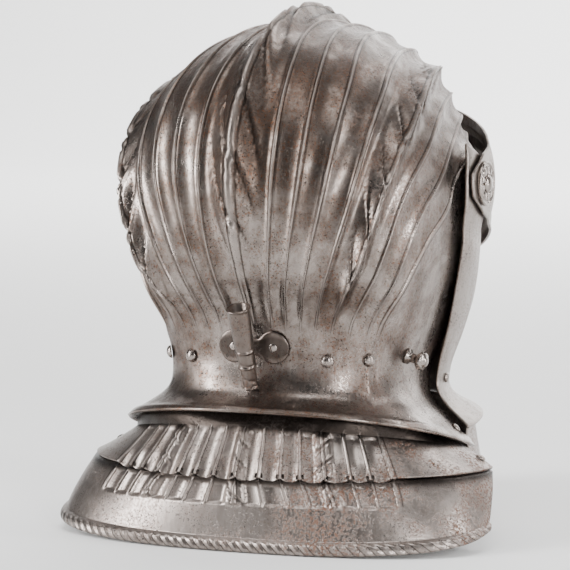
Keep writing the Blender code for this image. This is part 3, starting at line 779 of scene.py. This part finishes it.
def neck_relief(share, column, fade):
    """Height of the ropes, less the hollows and grooves between ridges, plain beyond the last ridge."""
    c = abs(column)
    f = c - int(c)
    relief = -NECK_ROPE_CUT * neck_cut(share, column)
    if c < len(NECK_RIDGES):
        groove = near(min(f, 1 - f) - NECK_GROOVE_AT, NECK_GROOVE_HALF)
        relief -= NECK_HOLLOW * hollow(f) + RIDGE_GROOVE * groove
    for rope in NECK_ROPES:
        relief += NECK_ROPE * smooth(0.0, 0.5, 1 - abs(c - rope) / NECK_ROPE_BAND)
    return relief * fade


def tucked_in(share, column):
    """Painted shade in the roping, and a painted shadow where the plate comes out from under the one above.
    """
    return min(0.6 * neck_cut(share, column) + 1.2 * (1 - smooth(LAP, LAP + LAP_SHADOW_FADE, share)), 1.1)


def bordered(share, column):
    """The same painted shade and shadow, above a lower plate's plain border."""
    return tucked_in(share, column) * (1 - smooth(BORDER, BORDER + 0.04, share))


def rolled(point, share, relief=0.0):
    """The point moved out by a relief and, near the rim, by the rolled edge."""
    bulge = math.sqrt(max(1 - ((share - ROLL_CENTRE) / ROLL_HALF) ** 2, 0.0))
    away = Vector((point.x, point.y, 0.0)).normalized()
    return point + away * (relief + RIM_ROLL * bulge)


def flange(share, column):
    return head_arch("skull", SKULL_HALF, share, neck_angle(column))


def rear_upper(share, column):
    degrees = neck_angle(column)
    if share <= LAP:
        overhang = OVERHANG * max(math.cos(math.radians(degrees)) ** 2, LEAST_OVERHANG)
        return lapped(flange, share, column, SKULL_WALL, overhang)
    point = neck_arch("rear_upper", GORGET_REACH, GORGET_HALF, share, degrees)
    if abs(column) < len(NECK_RIDGES):
        point.z -= SCALLOP * hollow(abs(column) % 1.0) * smooth(*SCALLOPED, share)
    return rolled(point, 0.0, neck_relief(share, column, smooth(LAP, 0.34, share)))


def rear_lower(share, column):
    if share <= LAP:
        return lapped(rear_upper, share, column, GORGET_WALL)
    point = neck_arch("rear_lower", GORGET_REACH, GORGET_HALF, share, neck_angle(column))
    fade = smooth(LAP, 0.3, share) * (1 - smooth(BORDER, BORDER + 0.05, share))
    return rolled(point, share, neck_relief(share, column, fade))


def front_upper(share, column):
    if share <= LAP:
        return lapped(bevor_point, share, FRONT_SPAN * column, FACE_WALL)
    return neck_arch("front_upper", FRONT_REACH, FRONT_HALF, share, 90.0 * FRONT_SPAN * column)


def front_lower(share, column):
    if share <= LAP:
        return lapped(front_upper, share, column, GORGET_WALL)
    point = neck_arch("front_lower", FRONT_REACH, FRONT_HALF, share, 90.0 * FRONT_SPAN * column)
    return rolled(point, share)


def plate_shares(rows):
    """Three rows on the lap and even ones below it."""
    return [0.0, LAP / 2] + [LAP + (1 - LAP) * share for share in even(rows)]


upper_steel = worn_steel("upper_neck_steel", umber=0.4, rust=0.9, ridges=len(NECK_RIDGES),
                         fluted=(LAP, OFF_FOOT))
lower_steel = worn_steel("lower_neck_steel", umber=0.4, rust=0.9, ridges=len(NECK_RIDGES),
                         fluted=(LAP, BORDER + 0.04), roped=True)
front_steel = worn_steel("front_neck_steel", umber=0.4, rust=0.5)
front_rim_steel = worn_steel("front_rim_steel", umber=0.4, rust=0.5, roped=True)
neck_columns = flutes(len(NECK_RIDGES), NECK_EDGE, NECK_EDGE_COLUMNS, NECK_ROPES)
# The last value darkens each rear plate with painted shade in its roping and a painted shadow under the
# plate above
for name, place, rows, columns, material, body, shade_and_grime in (
        ("rear_gorget_upper", rear_upper, UPPER_ROWS, neck_columns, upper_steel, "skull", tucked_in),
        ("rear_gorget_lower", rear_lower, LOWER_ROWS, neck_columns, lower_steel, "skull", bordered),
        ("front_gorget_upper", front_upper, UPPER_ROWS, plain_columns, front_steel, "bevor", None),
        ("front_gorget_lower", front_lower, LOWER_ROWS, plain_columns, front_rim_steel, "bevor", None)):
    shares = plate_shares(rows)
    sheet(name + "_plate", place, shares, columns, GORGET_WALL, material, body, name, shade_and_grime=shade_and_grime)


# Rosettes and hinge pins: on each temple a turned steel pin with a round head, on which the bevor
# and visor swing, and under its head a washer with a raised rim and ten chased petals.
PIN_RADIUS = 0.003
PIN_CLEARANCE = 0.0003
SEAT_GAP = 0.0004
ROSETTE_RADIUS = 0.0135
ROSETTE_THICKNESS = 0.0012
ROSETTE_RIM = 0.0008
HEAD_RADIUS = 0.0055
HEAD_HEIGHT = 0.0028
PETALS = 10
PETAL_HEIGHT = 0.0012
# Shares of the rosette's radius where the petals rise and fade
PETAL_RUN = (0.40, 0.50, 0.72, 0.80)
ROSETTE_SIDES = 144
ROSETTE_RINGS = 30
RIM_RINGS = 8
PIN_SIDES = 32
PIN_HEAD_RINGS = 8


def turned(profile, sides, ring=False):
    """A solid of revolution about Z from its half profile of radius and height pairs."""
    bm = bmesh.new()
    verts = [bm.verts.new((r, 0.0, z)) for r, z in profile]
    edges = [bm.edges.new(pair) for pair in zip(verts, verts[1:])]
    if ring:
        edges.append(bm.edges.new((verts[-1], verts[0])))
    bmesh.ops.spin(bm, geom=verts + edges, cent=(0, 0, 0), axis=(0, 0, 1), dvec=(0, 0, 0),
                   angle=2 * math.pi, steps=sides, use_merge=True)
    bmesh.ops.remove_doubles(bm, verts=bm.verts, dist=CLOSE)
    bmesh.ops.recalc_face_normals(bm, faces=bm.faces)
    return bm


def set_along(bm, point, direction):
    """Turns the mesh's Z to the direction and moves its origin to the point."""
    turn = Vector(direction).to_track_quat("Z", "Y").to_matrix().to_4x4()
    bm.transform(Matrix.Translation(point) @ turn)
    return bm


@functools.lru_cache(maxsize=None)
def faces_of(name):
    """The faces of a finished piece, wall and all, for rays to meet."""
    bpy.context.view_layer.update()
    return BVHTree.FromObject(bpy.data.objects[name], bpy.context.evaluated_depsgraph_get())


def surface_at(name, start, direction):
    """The first point and normal of a piece's outer face met from start, measured about the axis."""
    axis = Vector((0.0, 0.0, AXIS_Z))
    point, normal, _, _ = faces_of(name).ray_cast(Vector(start) + axis, Vector(direction))
    return point - axis, normal


def petal_height(radius, angle):
    """Height of the petals at a radius and an angle round the pin."""
    rise = along_run(PETAL_RUN, radius / ROSETTE_RADIUS)
    return PETAL_HEIGHT * rise * abs(math.sin(PETALS / 2 * angle)) ** 0.5


def round_head(radius, start, height, rings):
    """A round head's half profile from its edge at the start to its top."""
    angles = [math.pi / 2 * share for share in even(rings)[:-1]]
    profile = [(radius * math.cos(a), start + height * math.sin(a)) for a in angles]
    return profile + [(0.0, start + height)]


bright_steel = worn_steel("bright_steel", umber=0.05, rust=0.15, polish=0.20)
bore = PIN_RADIUS + PIN_CLEARANCE
inner = ROSETTE_RADIUS - 2 * ROSETTE_RIM
rosette_profile = [(bore, 0.0), (ROSETTE_RADIUS, 0.0), (ROSETTE_RADIUS, ROSETTE_THICKNESS)]
for share in even(RIM_RINGS)[1:]:
    radius = ROSETTE_RADIUS - ROSETTE_RIM * (1 - math.cos(math.pi * share))
    rosette_profile.append((radius, ROSETTE_THICKNESS + ROSETTE_RIM * math.sin(math.pi * share)))
rosette_profile += [
    (inner + (bore - inner) * share, ROSETTE_THICKNESS) for share in even(ROSETTE_RINGS)[1:]]
pin_start = SEAT_GAP + max(
    abs(surface_at("skull_plate", (side * 2 * SKULL_HALF, y, z), (-side, 0.0, 0.0))[0].x)
    for side in (-1, 1) for y in (-PIN_RADIUS, 0.0, PIN_RADIUS) for z in (-PIN_RADIUS, 0.0, PIN_RADIUS))
head_start = VISOR_HALF + ROSETTE_THICKNESS + 2 * SEAT_GAP - pin_start
pin_profile = [(0.0, 0.0), (PIN_RADIUS, 0.0), (PIN_RADIUS, head_start)]
pin_profile += round_head(HEAD_RADIUS, head_start, HEAD_HEIGHT, PIN_HEAD_RINGS)
for side, hand in ((-1, "right"), (1, "left")):
    rosette = turned(rosette_profile, ROSETTE_SIDES, ring=True)
    for vert in rosette.verts:
        if vert.co.z > ROSETTE_THICKNESS / 2:
            vert.co.z += petal_height(math.hypot(vert.co.x, vert.co.y), math.atan2(vert.co.y, vert.co.x))
    set_along(rosette, (side * (VISOR_HALF + SEAT_GAP), 0.0, 0.0), (side, 0.0, 0.0))
    piece("petal_rosette_" + hand, rosette, bright_steel, "skull", "rosette_" + hand)
    pin = set_along(turned(pin_profile, PIN_SIDES), (side * pin_start, 0.0, 0.0), (side, 0.0, 0.0))
    piece("round_pin_" + hand, pin, bright_steel, "skull", "hinge_pin_" + hand)


# Rivets: steel pins through the sheets with domed heads hammered over outside, on the nape, the
# flange, the bevor and the upper neck plate. They are set by degrees round the neck from the nape
# and by drop below the hinge axis.
NECK_ROW = 9
NAPE_RIVET_DROP = 0.100
FLANGE_RIVET_DROP = 0.146
BEVOR_RIVET_DROP = 0.119
PLATE_RIVET_DROP = 0.1605
LARGE_HEAD = (0.0040, 0.0030)
SMALL_HEAD = (0.0030, 0.0018)
HEAD_SIDES = 24
HEAD_RINGS = 7
# Each kind's name, the piece that it sits on, its body, its degrees, its drop, and its head's
# radius and height
RIVETS = [
    ("nape_rivet", "skull_plate", "skull", (-48, -31, 31, 48), NAPE_RIVET_DROP, LARGE_HEAD),
    ("flange_rivet", "skull_plate", "skull", (-93, 93), FLANGE_RIVET_DROP, SMALL_HEAD),
    ("bevor_rivet", "bevor_plate", "bevor", (-111, 111), BEVOR_RIVET_DROP, SMALL_HEAD),
    ("plate_rivet", "rear_gorget_upper_plate", "skull", (-83, 83), PLATE_RIVET_DROP, SMALL_HEAD),
]


def around(degrees, drop):
    """A start outside the neck and the direction inwards from it."""
    a = math.radians(degrees)
    centre = Vector((0.0, SKULL[NECK_ROW][3] * SKULL_REACH, -drop))
    away = Vector((-math.sin(a), math.cos(a), 0.0))
    return centre + away * 2 * GORGET_REACH, -away


def domed(radius, height):
    return turned([(0.0, 0.0)] + round_head(radius, 0.0, height, HEAD_RINGS), HEAD_SIDES)


for name, host, body, places, drop, head in RIVETS:
    for number, degrees in enumerate(places, 1):
        point, normal = surface_at(host, *around(degrees, drop))
        node = f"{name}_{number}"
        rivet = set_along(domed(*head), point + normal * SEAT_GAP, normal)
        piece("domed_" + node, rivet, bright_steel, body, node)


# Stud: a knob on a shank at the right of the neck, which the bevor's hook catches. It is turned
# from steel bar and riveted through the skull.
STUD_DEGREES = 75
STUD_DROP = 0.101
# The knob's half profile, radius and height, from its foot to its tip
STUD_PROFILE = [
    (0.0, 0.0), (0.0046, 0.0), (0.0046, 0.0010), (0.0030, 0.0016), (0.0027, 0.0062), (0.0040, 0.0070),
    (0.0055, 0.0088), (0.0058, 0.0100), (0.0052, 0.0112), (0.0042, 0.0118), (0.0030, 0.0122),
    (0.0026, 0.0130), (0.0012, 0.0135), (0.0, 0.0135),
]
point, normal = surface_at("skull_plate", *around(STUD_DEGREES, STUD_DROP))
stud = set_along(turned(STUD_PROFILE, PIN_SIDES), point + normal * SEAT_GAP, normal)
piece("turned_stud", stud, bright_steel, "skull", "stud")


# Plume pipe: a tapered tube for a feather, rolled from sheet steel, bound with bands and wrapped
# at its foot. It stands on a plate with two round ears, held to the nape by two sunk rivets.
EAR_RADIUS = 0.0096
EAR_OFFSET = 0.0125
EAR_WAIST = 0.005
EAR_TIP = 0.0004
EAR_THICKNESS = 0.0012
EAR_BEVEL = 0.0005
EAR_DROP = 0.944 * SKULL_RISE
EAR_ROWS = 24
EAR_COLUMNS = 28
SUNK_HEAD = (0.0026, 0.0009)
SUNK_GAP = 0.0001
PIPE_LENGTH = 0.052
PIPE_MOUTH_RADIUS = 0.0068
PIPE_FOOT_RADIUS = 0.0042
PIPE_WALL = 0.0011
PIPE_LEAN = math.radians(21)
PIPE_FOOT_DROP = 1.184 * SKULL_RISE
PIPE_RINGS = 104
PIPE_SIDES = 48
BANDS = (0.02, 0.28, 0.47)
BAND_HALF = 0.022
BAND_HEIGHT = 0.0006
MOUTH_LIP = 0.0005
# The wrapping's run from foot to mouth, its turns in the pipe's length, and its cuts' depth and half
# width as shares of the radius and of a turn
WRAP_RUN = (0.04, 0.08, 0.40, 0.46)
WRAP_TURNS = 5.5
WRAP_DEPTH = 0.07
WRAP_HALF = 0.18


def ear(share, column):
    """A point of the plate's outer side, which follows the skull, its edge bevelled."""
    x = column * (EAR_OFFSET + EAR_RADIUS)
    rise = math.sqrt(max(EAR_RADIUS**2 - (abs(x) - EAR_OFFSET) ** 2, 0.0))
    if abs(x) < EAR_OFFSET:
        rise = max(rise, EAR_WAIST)
    z = max(rise, EAR_TIP) * (1 - 2 * share) - EAR_DROP
    point, _ = surface_at("skull_plate", (x, 2 * GORGET_REACH, z), (0.0, -1.0, 0.0))
    bevel = EAR_BEVEL * near(min(share, 1 - share), 0.12)
    return point + Vector((0.0, EAR_THICKNESS + 2 * SEAT_GAP - bevel, 0.0))


def darker_inside(share, column):
    """Darkening, 0.7 inside the plate and fading to none at its edge."""
    return 0.7 * smooth(0.08, 0.22, min(share, 1 - share, 1.15 - abs(column)))


def pipe_taper(share):
    return PIPE_FOOT_RADIUS + (PIPE_MOUTH_RADIUS - PIPE_FOOT_RADIUS) * share


dark_steel = worn_steel("dark_steel", umber=0.6, rust=0.25, dull=0.60, polish=0.26)
ear_columns = mirrored([math.sin(math.pi / 2 * share) for share in even(EAR_COLUMNS)])
sheet("eared_plate", ear, even(EAR_ROWS), ear_columns, EAR_THICKNESS, dark_steel, "skull", "ear_plate",
      shade_and_grime=darker_inside)
for side, hand in ((-1, "right"), (1, "left")):
    behind = (side * EAR_OFFSET, 2 * GORGET_REACH, -EAR_DROP)
    point, normal = surface_at("eared_plate", behind, (0.0, -1.0, 0.0))
    ear_rivet = set_along(domed(*SUNK_HEAD), point + normal * SUNK_GAP, normal)
    piece("ear_rivet_" + hand, ear_rivet, bright_steel, "skull")

pipe_profile = [(PIPE_FOOT_RADIUS - PIPE_WALL, 0.0)]
for share in even(PIPE_RINGS):
    radius = pipe_taper(share) + MOUTH_LIP * smooth(0.965, 0.99, share)
    radius += BAND_HEIGHT * sum(near(share - band, BAND_HALF) for band in BANDS)
    pipe_profile.append((radius, PIPE_LENGTH * share))
pipe_profile.append((PIPE_MOUTH_RADIUS - PIPE_WALL, PIPE_LENGTH))
pipe = turned(pipe_profile, PIPE_SIDES, ring=True)
for vert in pipe.verts:
    share = vert.co.z / PIPE_LENGTH
    turn = math.atan2(vert.co.y, vert.co.x) / (2 * math.pi)
    if math.hypot(vert.co.x, vert.co.y) > pipe_taper(share) - CLOSE:
        cut = near((turn + WRAP_TURNS * share) % 1.0 - 0.5, WRAP_HALF)
        carve = 1 - WRAP_DEPTH * along_run(WRAP_RUN, share) * cut
        vert.co.x *= carve
        vert.co.y *= carve
foot_reach = PIPE_FOOT_RADIUS * math.cos(PIPE_LEAN) + SEAT_GAP
seat, _ = surface_at("skull_plate", *around(0, PIPE_FOOT_DROP - PIPE_FOOT_RADIUS * math.sin(PIPE_LEAN)))
foot = (0.0, seat.y + foot_reach, -PIPE_FOOT_DROP)
set_along(pipe, foot, (0.0, math.sin(PIPE_LEAN), math.cos(PIPE_LEAN)))
piece("banded_pipe", pipe, dark_steel, "skull", "plume_pipe")
